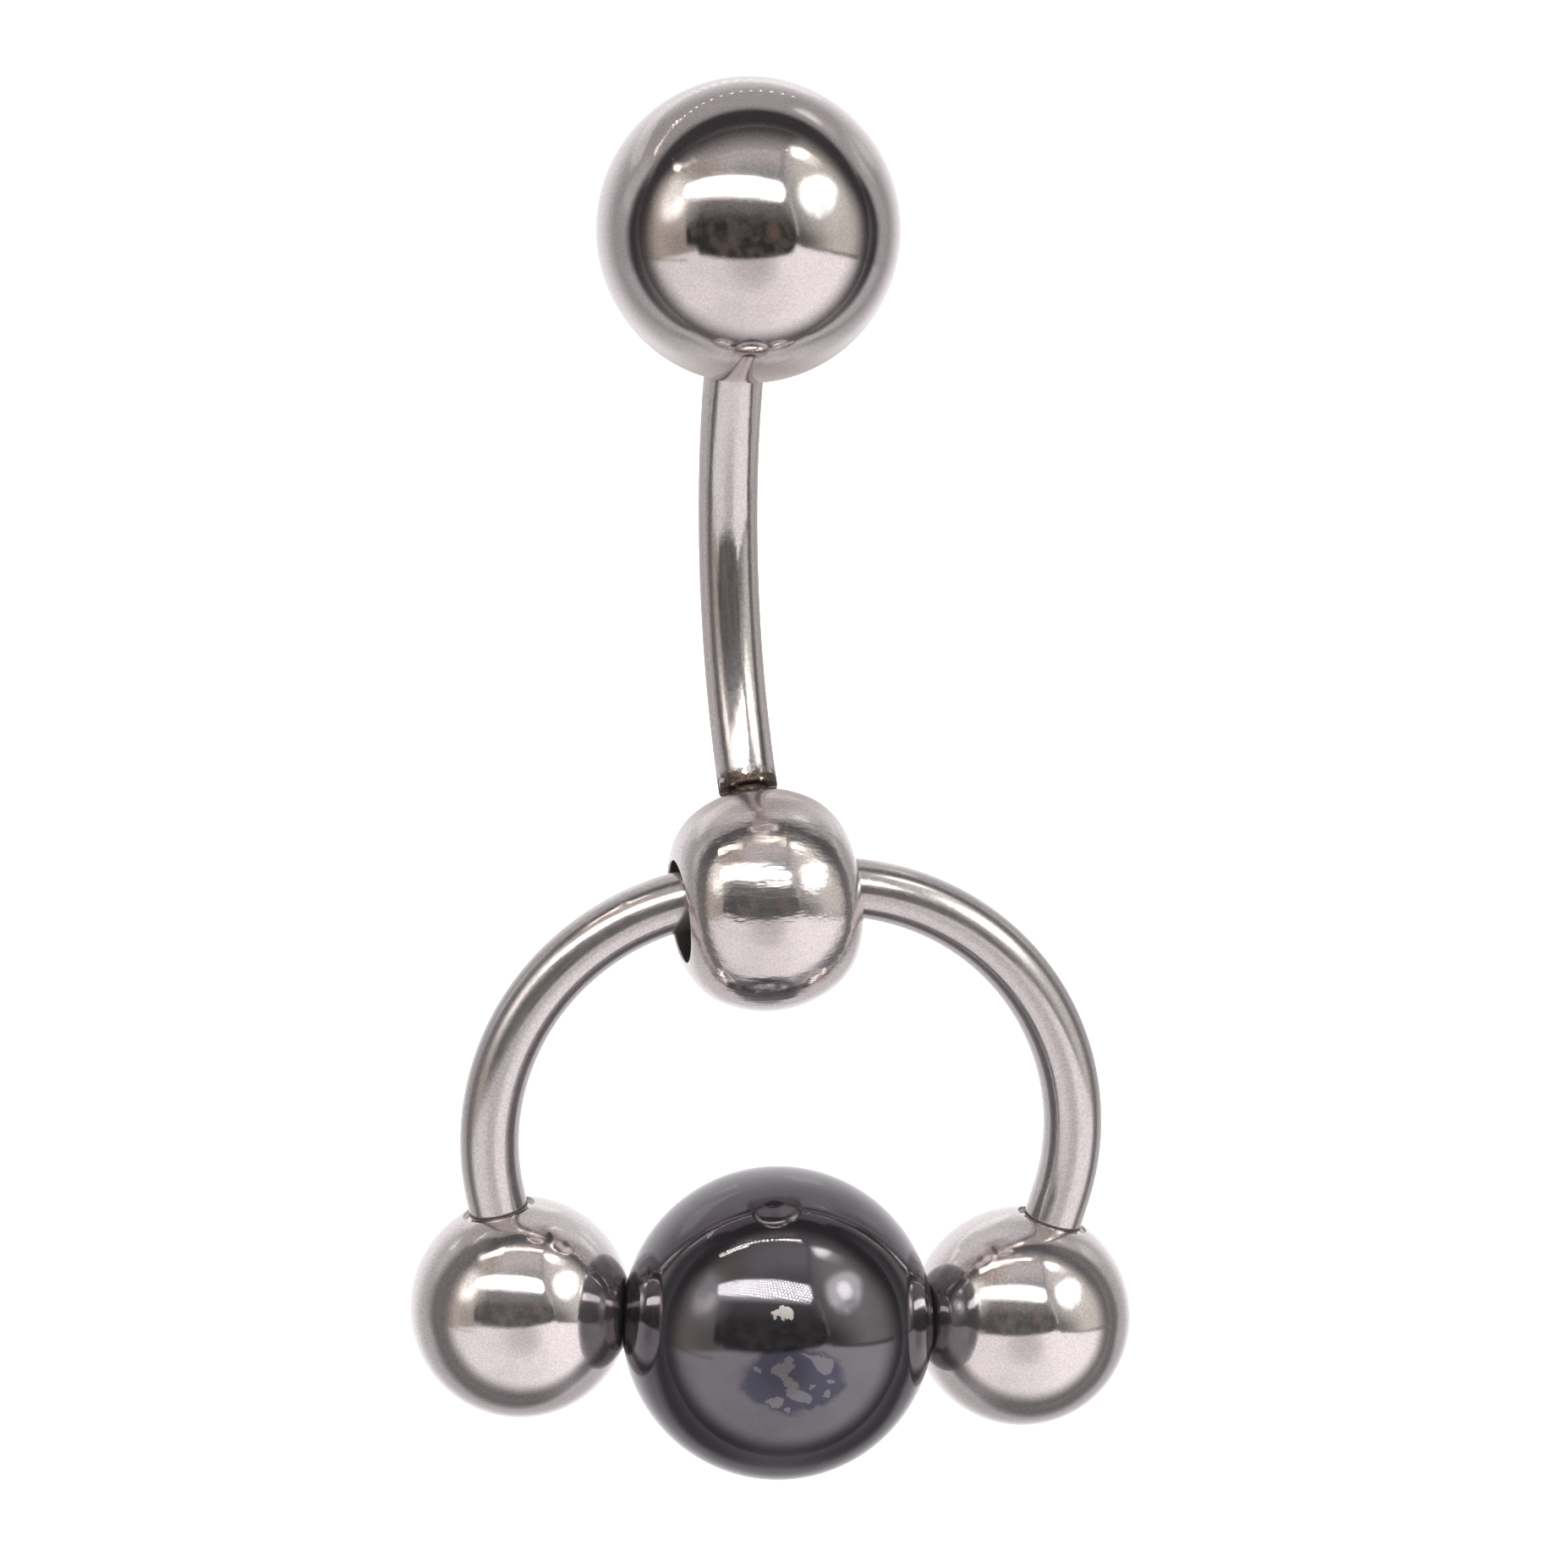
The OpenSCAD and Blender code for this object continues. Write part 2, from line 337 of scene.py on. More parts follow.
# Corners of the tent's panels, as azimuth and elevation in degrees
LAMPS = [(144.5, 25.5), (133, 31.5), (115.5, 41.2), (88, 47.3), (64.6, 47), (55.5, 53.4),
         (52.5, 59), (89, 62), (119.5, 56), (138, 45), (150.5, 30)]
REFLECTOR = [(144.5, 26), (133, 32), (115.5, 41.7), (88, 47.8), (64.6, 47.5), (55.5, 53.4),
             (51, 61), (89, 65.5), (120.5, 59.5), (141.5, 48.5), (154, 34.5), (151.5, 28)]
OPENING = [(153, 33), (160, 34.5), (174, 36), (-172, 36), (-12.2, 64.7), (-3.9, 61.8), (11.5, 62),
           (40, 58), (73, 53), (105, 46), (134, 35)]
SIDE_LAMP = [(142, 13), (151, 12), (169, 17), (168, 28), (154, 33), (142, 28)]
WINDOW = [(47.5, 44.5), (49.5, 36), (46, 28.5), (40, 21), (34, 17), (28, 17), (21, 23.5),
          (16, 33.5), (15, 41.5), (20.5, 48), (33, 51)]
SLIT = [(68.8, 18.2), (60.5, 15.6), (49, 13.6), (38.8, 11.8), (34, 12.4), (37.5, 16.5),
        (46.5, 22), (56.6, 25), (64.1, 25)]
# Azimuths that the two upright seams beside the front wall face
FRONT_SEAMS = (-75.5, -102)
# Creases in the cloth, painted as dark lines of shade: both ends, width in degrees and depth
CREASES = [((-12, 57), (-11.5, 4), 1.6, 0.7), ((72, 13), (65, 44), 2.2, 0.3),
           ((65, 44), (53, 55), 2.2, 0.4), ((-160, 35), (-166, 8), 1.6, 0.35)]
BRIGHT_SEAM = (48, 54), (1, 59.5), 1.5
# Spots by their middle, inner and outer angle: bright cores of the window with their light, and the
# glow round the window and the side lamp with its share
WINDOW_CORES = [((35, 27), 1, 13, 2.6), ((36, 41), 1, 11, 2.6), ((33, 34), 0, 8, 5.5)]
LAMP_GLOWS = [((31, 36), 12, 30, 0.45), ((156, 24), 6, 24, 0.4)]
# The rows of diodes in the lamp over the ring: their pitch as a slope, and their turn in degrees
DIODE_PITCH = 0.052
DIODE_TURN = -16
# Tones of the tent's painted light and shade. A pair blends with a fold, a height or a noise
FRONT_TONES = (0.96, 0.92, 0.93), (1.06, 1.01, 1.02)
FRONT_RIGHT_TONE, FRONT_SHADOW_TONE = (1.25, 1.2, 1.22), (0.45, 0.41, 0.41)
LEFT_TONES = (0.60, 0.52, 0.45), (0.42, 0.38, 0.34)
RIGHT_TONES = (0.74, 0.71, 0.66), (0.15, 0.14, 0.13)
BACK_TONES = (0.62, 0.58, 0.57), (0.34, 0.35, 0.37)
DARK_TONES = (0.045, 0.042, 0.042), (0.11, 0.10, 0.095)
RIGHT_BROWN, LEFT_BROWN = (0.17, 0.115, 0.10), (0.17, 0.13, 0.11)
OPENING_BACK_TONE = (0.24, 0.23, 0.23)
CREASE_SHADE_TONE, BRIGHT_SEAM_TONE = (0.10, 0.09, 0.09), (0.55, 0.53, 0.5)
FOOT_TONES = (0.12, 0.112, 0.116), (0.055, 0.05, 0.055)
WINDOW_TONES = (1.6, 1.6, 1.55), (2.3, 2.3, 2.2)
LAMP_GLOW_TONE = (1.0, 0.98, 0.92)
SLIT_TONES = (1.4, 1.4, 1.3), (5.0, 5.0, 4.7)
SIDE_LAMP_TONES = (1.2, 1.17, 1.12), (2.1, 2.0, 1.9)
REFLECTOR_TONE = (1.15, 1.12, 1.12)
LAMP_TONES = (1.1, 1.1, 1.1), (17, 17, 16)


def dark_tone(shader, bearing, right, left):
    """The tone of the dark opening over the ring, with a brownish blotch at its right and left."""
    tone = shader.mix(shader.step(shader.noise(bearing, 7.0, 3.0), 0.42, 0.6), *DARK_TONES)
    patchy = shader.step(shader.noise(bearing, 2.5, 3.0), 0.4, 0.6)
    for middle, size, brown in ((right, 9, RIGHT_BROWN), (left, 11, LEFT_BROWN)):
        tone = shader.mix(shader.times(spot(shader, bearing, middle, 1, size), patchy), tone, brown)
    return tone


def painted_tent_light():
    # The tent's glow is painted light and shade, seen only in reflections
    made, sky = studio_material("painted_tent_light")
    bearing = sky.vector("NORMALIZE", sky.place())
    height = sky.dot(bearing, (0, 0, 1))
    rightward = sky.dot(bearing, (1, 0, 0))
    backward = sky.dot(bearing, (0, 1, 0))
    folds = sky.noise(bearing, 2.5, 3.0)

    # Walls, their light and shade painted: a bright one in front between two upright seams, and duller ones
    # round the back
    front = sky.times(*(sky.step(sky.dot(bearing, toward(facing, 0)), -0.03, 0.03)
                        for facing in FRONT_SEAMS))
    front_tone = sky.mix(sky.step(folds, 0.35, 0.65), *FRONT_TONES)
    front_tone = sky.mix(sky.step(rightward, 0.0, 0.6), front_tone, FRONT_RIGHT_TONE)
    # A painted shadow: a soft darker spot on the front wall below the opening
    front_tone = sky.mix(sky.times(spot(sky, bearing, (-98, 68), 1, 24), 0.5), front_tone, FRONT_SHADOW_TONE)
    left_tone = sky.mix(sky.step(height, 0.15, 0.55), *LEFT_TONES)
    right_tone = sky.mix(sky.step(height, 0.45, 0.84), *RIGHT_TONES)
    back_tone = sky.mix(sky.step(height, 0.5, 0.74), *BACK_TONES)
    tone = sky.mix(sky.step(rightward, -0.55, -0.25), left_tone, back_tone)
    tone = sky.mix(sky.step(rightward, 0.34, 0.46), tone, right_tone)
    tone = sky.mix(front, tone, front_tone)

    # The dark opening over the ring, the painted shade of the creases and a bright seam
    opening_tone = dark_tone(sky, bearing, (14, 79), (-168, 67))
    opening_tone = sky.mix(sky.step(backward, 0.12, 0.42), opening_tone, OPENING_BACK_TONE)
    tone = sky.mix(panel(sky, bearing, OPENING, 2.2), tone, opening_tone)
    for start, end, width, depth in CREASES:
        tone = sky.mix(sky.times(crease(sky, bearing, start, end, width), depth), tone, CREASE_SHADE_TONE)
    tone = sky.mix(sky.times(crease(sky, bearing, *BRIGHT_SEAM), 0.8), tone, BRIGHT_SEAM_TONE)

    # The tent's foot is in shade
    shade_top = sky.step(backward, 0.1, 0.6, 0.0, 0.1)
    shade = sky.step(sky.minus(height, shade_top), -0.08, 0.3, 1.0, 0.0)
    tone = sky.mix(shade, tone, sky.mix(sky.step(backward, -0.2, 0.2), *FOOT_TONES))

    # Light from outside: a window with bright cores, a low slit beside it, a lamp at the left
    streak = sky.noise(sky.vector("MULTIPLY", bearing, (2.4, 1.0, 0.5)), 6.0, 3.0)
    window_tone = sky.mix(sky.step(streak, 0.38, 0.66), *WINDOW_TONES)
    for middle, inner, outer, light in WINDOW_CORES:
        window_tone = sky.mix(spot(sky, bearing, middle, inner, outer), window_tone,
                              (light, light, light * 0.95))
    for middle, inner, outer, share in LAMP_GLOWS:
        tone = sky.mix(sky.times(spot(sky, bearing, middle, inner, outer), share), tone, LAMP_GLOW_TONE)
    tone = sky.mix(panel(sky, bearing, WINDOW, 4.0), tone, window_tone)
    slit = sky.times(panel(sky, bearing, SLIT, 2.2), spot(sky, bearing, (63, 17), 3, 20))
    tone = sky.mix(slit, tone, sky.mix(spot(sky, bearing, (63, 16), 1, 10), *SLIT_TONES))
    side_tone = sky.mix(sky.step(folds, 0.4, 0.6), *SIDE_LAMP_TONES)
    tone = sky.mix(panel(sky, bearing, SIDE_LAMP, 5.5), tone, side_tone)

    # The lamp over the ring: rows of small diodes along the upper edge of a white reflector
    tone = sky.mix(panel(sky, bearing, REFLECTOR, 2.4), tone, REFLECTOR_TONE)
    ways = sky.turned(sky.math("DIVIDE", rightward, height), sky.math("DIVIDE", backward, height), DIODE_TURN)
    column, row = (sky.math("DIVIDE", way, DIODE_PITCH) for way in ways)
    stagger = sky.times(sky.math("FLOOR", row), 0.5)
    column_off = sky.minus(sky.math("FRACT", sky.plus(column, stagger)), 0.5)
    row_off = sky.minus(sky.math("FRACT", row), 0.5)
    diode = sky.step(sky.length(column_off, row_off), 0.2, 0.4, 1.0, 0.0)
    tone = sky.mix(panel(sky, bearing, LAMPS, 1.0), tone, sky.mix(diode, *LAMP_TONES))
    sky.end("ShaderNodeOutputMaterial", glow(sky, tone))
    return made


def as_mesh(name, work):
    """Turns a finished bmesh into a mesh."""
    mesh = bpy.data.meshes.new(name)
    work.to_mesh(mesh)
    work.free()
    return mesh


def plates(name, points, faces):
    """A mesh of flat plates, from points in millimetres."""
    mesh = bpy.data.meshes.new(name)
    mesh.from_pydata([(x * MM, y * MM, z * MM) for x, y, z in points], [], faces)
    return mesh


def flat_sheet(name, left, right, front_edge, back_edge, height):
    corners = [(left, front_edge), (right, front_edge), (right, back_edge), (left, back_edge)]
    return plates(name, [(x, y, height) for x, y in corners], [(0, 1, 2, 3)])


def stage_mesh(name, mesh, finish):
    mesh.materials.append(finish)
    made = bpy.data.objects.new(name, mesh)
    bpy.context.scene.collection.objects.link(made)
    return made


def mirrored_mesh(name, mesh, finish):
    """A mesh of the stage that is seen only in reflections."""
    made = stage_mesh(name, mesh, finish)
    made.visible_camera = False
    made.visible_diffuse = False
    made.visible_transmission = False
    made.visible_volume_scatter = False
    made.visible_shadow = False


TENT_RADIUS = 300
round_tent = bmesh.new()
bmesh.ops.create_icosphere(round_tent, subdivisions=5, radius=TENT_RADIUS * MM)
mirrored_mesh("tent", as_mesh("tent", round_tent), painted_tent_light())

# The dark rim between the table and the tent, round the front and the sides, a faint glow of painted shade at
# the tent's foot: corners with the heights of its lower and upper edge
RIM = [(-14, 34, 1.4, 9.0), (-20, 26, 1.0, 9.0), (-16, 15, 0.8, 9.2), (-15, -5, 0.6, 7.8),
       (-17, -18, 0.6, 8.6), (-13, -22.6, 0.0, 9.0), (-8, -23.8, 0.0, 9.2), (0, -26, 1.4, 9.2),
       (8, -23.8, 0.0, 9.2), (13, -22.6, 0.0, 9.0), (17, -18, 0.6, 8.0), (16.5, -5, 0.8, 7.0),
       (15.5, 15, 0.8, 8.4), (20, 26, 1.6, 9.0), (16, 33, 2.2, 8.5)]


def painted_rim_shade():
    """Painted shade that glows faintly: solid at a third of its height, fading up and down, and out behind
    the ring.
    """
    made, shader = studio_material("painted_shade_rim")
    back = shader.dot(shader.place(), (0, 1, 0))
    tone = shader.mix(shader.step(back, -2 * MM, 12 * MM), (0.16, 0.15, 0.155), (0.06, 0.054, 0.06))
    tone = shader.mix(shader.step(back, -26 * MM, -24.4 * MM), (0.30, 0.28, 0.29), tone)
    risen = shader.attribute("rise", "Fac")
    solid = shader.times(shader.step(risen, 0.0, 0.3), shader.step(risen, 0.35, 1.0, 1.0, 0.0))
    fading_glow(shader, tone, shader.times(solid, shader.step(back, 20 * MM, 33 * MM, 1.0, 0.0)))
    return made


rim_mesh = plates("painted_shade_rim", [(x, y, z) for x, y, *edges in RIM for z in edges],
                  [(2 * k, 2 * k + 2, 2 * k + 3, 2 * k + 1) for k in range(len(RIM) - 1)])
rim_mesh.attributes.new("rise", "FLOAT", "POINT").data.foreach_set("value", [0.0, 1.0] * len(RIM))
mirrored_mesh("painted_shade_rim", rim_mesh, painted_rim_shade())

# A baffle that keeps most of the diode strip out of the top ball's direct sight; it glows with painted shade,
# dark low and paler high
BAFFLE = [(-26, 38), (-11, 32), (11, 32)]
BAFFLE_EDGES = (8.5, 14.8)


def painted_baffle_shade():
    made, shader = studio_material("baffle")
    place = shader.place()
    # Painted shade: the glow darkens towards the bottom
    rising = shader.step(shader.dot(place, (0, 0, 1)), 8 * MM, 16 * MM)
    fading_glow(shader, shader.mix(rising, (0.07, 0.06, 0.06), (0.52, 0.49, 0.48)),
                shader.step(shader.dot(place, (1, 0, 0)), 6 * MM, 10 * MM, 1.0, 0.0))
    return made


mirrored_mesh("baffle", plates("baffle", [(x, y, z) for x, y in BAFFLE for z in BAFFLE_EDGES],
                               [(0, 2, 3, 1), (2, 4, 5, 3)]), painted_baffle_shade())

# The dark board round the camera, nearer than the tent, whose straight front edge ends the opening; it glows
# faintly with the painted shade of the opening
BOARD_HEIGHT = 125
BOARD = [(-120, -33.5), (0, -29.5), (59, -22.4), (67.6, -12.4), (66, 30), (-120, 30)]


def painted_board_shade():
    made, shader = studio_material("camera_board")
    place = shader.place()
    bearing = shader.vector("NORMALIZE", place)
    corners = [(math.degrees(math.atan2(y, x)), math.degrees(math.atan2(BOARD_HEIGHT, math.hypot(x, y))))
               for x, y in BOARD]
    fading_glow(shader, dark_tone(shader, bearing, (32, 77.7), (-177, 67.8)),
                shader.times(panel(shader, bearing, corners, 2.2),
                             shader.step(shader.dot(place, (0, 1, 0)), 5 * MM, 28 * MM, 1.0, 0.0)))
    return made


mirrored_mesh("camera_board", flat_sheet("camera_board", left=-140, right=100, front_edge=-60,
                                         back_edge=40, height=BOARD_HEIGHT), painted_board_shade())

# A low strip of diodes behind the ring, whose image in the table is the dotted arc on the balls. Its
# left part has a second row over the first
STRIP = [(-70, 72, 20), (-44, 68, 21), (-23, 62, 21.5), (-2, 55, 22), (14, 49, 21.5)]
DIODES = 24
DIODE_TONE, DIODE_STRENGTH = (1.0, 0.95, 0.85, 1), 150.0
LEFT_PART = 1.6
LEFT_DIODE, RIGHT_DIODE, STRAY_DIODE = 0.36, 0.3, 0.055
SECOND_ROW = Vector((0.9, 0, 2.6))
# Five more, close to the ring, in front of the baffle
STRAY_DIODES = [(-19.5, 30.1, 11.4), (-17.8, 31.6, 12.3), (-15.8, 33.0, 13.2), (-14.4, 33.6, 14.2),
                (-13.2, 34.0, 15.1)]


def diode_strip():
    work = bmesh.new()

    def diode(at, size):
        bmesh.ops.create_icosphere(work, subdivisions=1, radius=size * MM,
                                   matrix=Matrix.Translation(at * MM))

    for k in range(DIODES):
        along = k / (DIODES - 1) * (len(STRIP) - 1)
        leg = min(int(along), len(STRIP) - 2)
        at = Vector(STRIP[leg]).lerp(Vector(STRIP[leg + 1]), along - leg)
        if along < LEFT_PART:
            diode(at, LEFT_DIODE)
            diode(at + SECOND_ROW, LEFT_DIODE)
        else:
            diode(at, RIGHT_DIODE)
    for at in STRAY_DIODES:
        diode(Vector(at), STRAY_DIODE)
    return as_mesh("diode_strip", work)


diode_light, diodes = studio_material("diode_light")
diodes.end("ShaderNodeOutputMaterial", glow(diodes, DIODE_TONE, DIODE_STRENGTH))
mirrored_mesh("diode_strip", diode_strip(), diode_light)


def white_sheet():
    """The glossy white sheet under the ring, as a glow of painted light: brightest straight below and near
    the ring, with a painted shadow along the bar and painted shade far behind.
    """
    made, shader = studio_material("glossy_sheet")
    facing = shader.step(shader.node("ShaderNodeLayerWeight", out="Facing", Blend=0.5), 0.08, 0.42, 1.0, 0.0)
    place = shader.place()
    aside = shader.math("ABSOLUTE", shader.dot(place, (1, 0, 0)))
    back = shader.dot(place, (0, 1, 0))

    def beyond(length, reach):
        return shader.math("MAXIMUM", shader.minus(length, reach * MM), 0.0)

    def from_bar(middle, reach):
        return shader.length(aside, beyond(shader.math("ABSOLUTE", shader.minus(back, middle * MM)), reach))

    from_row = shader.length(beyond(aside, 7), shader.plus(back, 14.6 * MM))
    # A painted pool of light near the ring and the bar
    near = shader.step(shader.math("MINIMUM", from_bar(5, 10), from_row), 3 * MM, 12 * MM, 1.0, 0.0)
    bright = shader.plus(shader.times(facing, 0.55), shader.times(near, 0.45))
    tone = shader.mix(bright, (0.46, 0.44, 0.45), (1.12, 1.1, 1.12))
    # Painted shade far behind the ring
    tone = shader.mix(shader.step(back, 38 * MM, 50 * MM), tone, (0.08, 0.075, 0.08))
    # A painted shadow of the bar on the sheet
    painted_bar_shadow = shader.times(shader.step(from_bar(5.5, 4), 1.5 * MM, 5.5 * MM, 1.0, 0.0), 0.75)
    tone = shader.mix(painted_bar_shadow, tone, (0.44, 0.39, 0.36))
    mirror = shader.node("ShaderNodeBsdfGlossy", Color=(1, 1, 1, 1), Roughness=0.0)
    shader.end("ShaderNodeOutputMaterial",
               shader.node("ShaderNodeMixShader", shader.node("ShaderNodeFresnel", IOR=1.45),
                           glow(shader, tone), mirror))
    return made


mirrored_mesh("glossy_sheet", flat_sheet("glossy_sheet", left=-60, right=60, front_edge=-60,
                                         back_edge=50, height=-0.01), white_sheet())

# The pale table and the room's light, as the camera sees them
TABLE_REACH = 2000
TABLE_WHITE = (0.94, 0.94, 0.945, 1)
TABLE_GLOW = (0.45, 0.45, 0.455, 1)
ROOM_WHITE = (0.93, 0.93, 0.94, 1)

table_paint, paint = studio_material("table_paint")
paint.end("ShaderNodeOutputMaterial",
          paint.node("ShaderNodeAddShader", paint.node("ShaderNodeBsdfDiffuse", Color=TABLE_WHITE),
                     glow(paint, TABLE_GLOW)))
table = stage_mesh("table", flat_sheet("table", -TABLE_REACH, TABLE_REACH, -TABLE_REACH, TABLE_REACH, -0.02),
                   table_paint)
table.visible_glossy = False

world = bpy.data.worlds.new("room")
bpy.context.scene.world = world
world.use_nodes = True
room = Nodes(world.node_tree)
room.end("ShaderNodeOutputWorld", room.node("ShaderNodeBackground", Color=ROOM_WHITE, Strength=0.5))


def soft_light(name, side, place, power):
    """A big square light that reaches the table but isn't seen in the polished surfaces."""
    lamp = bpy.data.lights.new(name, "AREA")
    lamp.shape, lamp.size, lamp.energy = "SQUARE", side, power
    light = bpy.data.objects.new(name, lamp)
    light.location = place
    light.rotation_euler = Vector(place).to_track_quat("Z", "Y").to_euler()
    light.visible_glossy = False
    light.visible_camera = False
    bpy.context.scene.collection.objects.link(light)


soft_light("roof_light", side=1.4, place=(0.0, 0.1, 0.5), power=18.0)


# Finishes

GRAIN_FINENESS = 16000.0
GRAIN_HEIGHT = 0.0000003
DIRT_TONES = (0.05, 0.036, 0.03), (0.16, 0.12, 0.10)


def piece_material(name):
    made, shader = new_material(name)
    body = shader.node("ShaderNodeBsdfPrincipled").node
    shader.end("ShaderNodeOutputMaterial", body.outputs[0])
    return made, shader, body


def dress(shader, body, tone, rough, metallic, height):
    """Feeds a finish with its tone, roughness and share of metal, and with a height in metres."""
    bump = shader.node("ShaderNodeBump", Strength=1.0, Distance=1.0, Height=height)
    for name, value in (("Base Color", tone), ("Roughness", rough), ("Metallic", metallic), ("Normal", bump)):
        shader.feed(body.inputs[name], value)


def polished_steel(name, pattern, tones, roughness, ripple, haze=0.0, dirt_at=None):
    """Polished steel with a fine grain and a ripple: how fine and high it is, and how it is stretched.
    The pattern is an attribute's name or None; dirt_at is where along it the dirt fades."""
    made, shader, body = piece_material(name)
    place = shader.attribute(pattern, "Vector") if pattern else shader.place()
    grain = shader.noise(place, GRAIN_FINENESS, 2.0, 0.6)
    tone = shader.mix(shader.step(grain, 0.25, 0.75), *tones)
    rough = shader.step(shader.noise(place, 900.0, 4.0, 0.6), 0.3, 0.7, *roughness)
    if dirt_at:
        start, end = dirt_at
        ragged = shader.times(shader.minus(shader.noise(place, 2600.0, 4.0, 0.7), 0.5), 0.9 * MM)
        along = shader.plus(shader.dot(place, (0, 0, 1)), ragged)
        bare = shader.step(shader.noise(place, 3800.0, 3.0), 0.56, 0.62)
        dirty = shader.times(shader.step(along, start * MM, end * MM, 1.0, 0.0), shader.minus(1.0, bare))
        tone = shader.mix(dirty, tone, shader.mix(shader.step(grain, 0.3, 0.7), *DIRT_TONES))
        rough = shader.plus(rough, shader.times(dirty, 0.4))
    fineness, rise, stretched = ripple
    wave = shader.times(shader.noise(shader.vector("MULTIPLY", place, stretched), fineness, 3.0, 0.55), rise)
    dress(shader, body, tone, rough, 1.0 - haze, shader.plus(wave, shader.times(grain, GRAIN_HEIGHT)))
    return made


STEEL_TONES = (0.57, 0.525, 0.525), (0.71, 0.655, 0.65)
END_TONES = (0.60, 0.555, 0.555), (0.76, 0.705, 0.70)
WIRE_TONES = (0.50, 0.465, 0.465), (0.64, 0.595, 0.59)
steel = polished_steel("polished_steel", None, STEEL_TONES, (0.06, 0.105),
                       (1500.0, 0.0000015, (1, 1, 1)))
end_steel = polished_steel("handled_steel", None, END_TONES, (0.07, 0.12),
                           (2500.0, 0.0000016, (1, 1, 1)), 0.03)
worn_steel = polished_steel("worn_steel", None, STEEL_TONES, (0.10, 0.15),
                            (3200.0, 0.000014, (0.22, 1, 1)), 0.03)
wire_steel = polished_steel("polished_wire", "along_wire", WIRE_TONES, (0.14, 0.21),
                            (2500.0, 0.0000015, (1, 1, 0.3)), 0.05)
bar_steel = polished_steel("worn_wire", "along_wire", WIRE_TONES, (0.10, 0.15),
                           (4000.0, 0.0000055, (1, 1, 0.4)), 0.04, dirt_at=(1.6, 2.0))

# Marks on the bead as the photograph shows them, in parts of its radius: to the right, up, half
# width, half height and turn in degrees
STAIN = (0.105, -0.36, 0.325, 0.2, 4)
ISLANDS = [(0.28, -0.25, 0.075, 0.05, -22), (0.03, -0.285, 0.075, 0.055, 35),
           (0.075, -0.375, 0.06, 0.04, -30), (0.13, -0.455, 0.08, 0.04, -12),
           (-0.02, -0.5, 0.05, 0.03, 8), (0.33, -0.36, 0.036, 0.02, 5), (-0.13, -0.295, 0.03, 0.024, 0),
           (0.31, -0.455, 0.03, 0.018, 20), (0.2, -0.215, 0.045, 0.02, -35),
           (0.075, -0.225, 0.03, 0.016, 10), (0.05, -0.535, 0.02, 0.016, 0), (0.22, -0.40, 0.022, 0.014, 40)]
CHIP = [(0.035, 0.05, 0.06, 0.036, -8), (0.075, 0.055, 0.04, 0.036, 20), (-0.015, 0.045, 0.035, 0.022, 30)]
RAGGEDNESS = 0.16
STONE_TONES = (0.135, 0.126, 0.141), (0.162, 0.153, 0.170)
GRAIN_TONE = (0.19, 0.18, 0.195)
STAIN_TONE = (0.072, 0.072, 0.098)
ISLAND_TONE = (0.171, 0.163, 0.176)
SCRATCH_TONE = (0.3, 0.28, 0.28)
CHIP_TONE = (0.46, 0.43, 0.42)


def hematite():
    """Dark polished stone with a mirror gloss, a stain, a chip and hair scratches."""
    made, shader, body = piece_material("polished_hematite")
    place = shader.place()
    cloud = shader.noise(place, 450.0, 3.0, 0.55)
    grain = shader.noise(place, GRAIN_FINENESS, 2.0, 0.6)
    from_middle = shader.vector("SUBTRACT", place, bead_at * MM)
    outward = (CAMERA_AIM + CAMERA_DISTANCE * to_camera - bead_at).normalized()
    sideways = Vector((0, 1, 0)).cross(outward).normalized()
    unit = 1 / (BEAD_D / 2 * MM)

    def ragged(way, fineness):
        """How far a point lies in a direction, in parts of the bead's radius, with a wobble."""
        wobble = shader.times(shader.minus(shader.noise(place, fineness, 4.0, 0.6), 0.5), RAGGEDNESS)
        return shader.plus(shader.dot(from_middle, way * unit), wobble)

    right = ragged(sideways, 1500.0)
    up = ragged(outward.cross(sideways), 1900.0)
    shown = shader.step(shader.dot(from_middle, outward * unit), 0.0, 0.1)

    def mark(middle_right, middle_up, half_wide, half_high, turned):
        """1 inside a ragged oval, 0 outside."""
        a, b = shader.turned(shader.minus(right, middle_right), shader.minus(up, middle_up), turned)
        far = shader.length(shader.math("DIVIDE", a, half_wide), shader.math("DIVIDE", b, half_high))
        return shader.times(shader.step(far, 0.9, 1.1, 1.0, 0.0), shown)

    tone = shader.mix(shader.step(cloud, 0.3, 0.7), *STONE_TONES)
    tone = shader.mix(shader.times(shader.step(grain, 0.3, 0.8), 0.3), tone, GRAIN_TONE)
    tone = shader.mix(mark(*STAIN), tone, STAIN_TONE)
    for island in ISLANDS:
        tone = shader.mix(mark(*island), tone, ISLAND_TONE)
    line = shader.math("ABSOLUTE", shader.minus(shader.noise(place, 260.0, 1.0, 0.4, 1.5), 0.5))
    hair = shader.times(shader.step(line, 0.001, 0.0035, 1.0, 0.0),
                        shader.step(shader.noise(place, 700.0, 1.0), 0.56, 0.64))
    tone = shader.mix(shader.times(hair, 0.4), tone, SCRATCH_TONE)
    chip = 0.0
    for lobe in CHIP:
        chip = shader.math("MAXIMUM", chip, mark(*lobe))
    tone = shader.mix(chip, tone, CHIP_TONE)
    rough = shader.plus(shader.step(cloud, 0.3, 0.7, 0.045, 0.08), shader.times(chip, 0.4))
    dress(shader, body, tone, rough, 0.965, shader.times(grain, GRAIN_HEIGHT))
    return made


# Meshes

SHARP_EDGE = 35


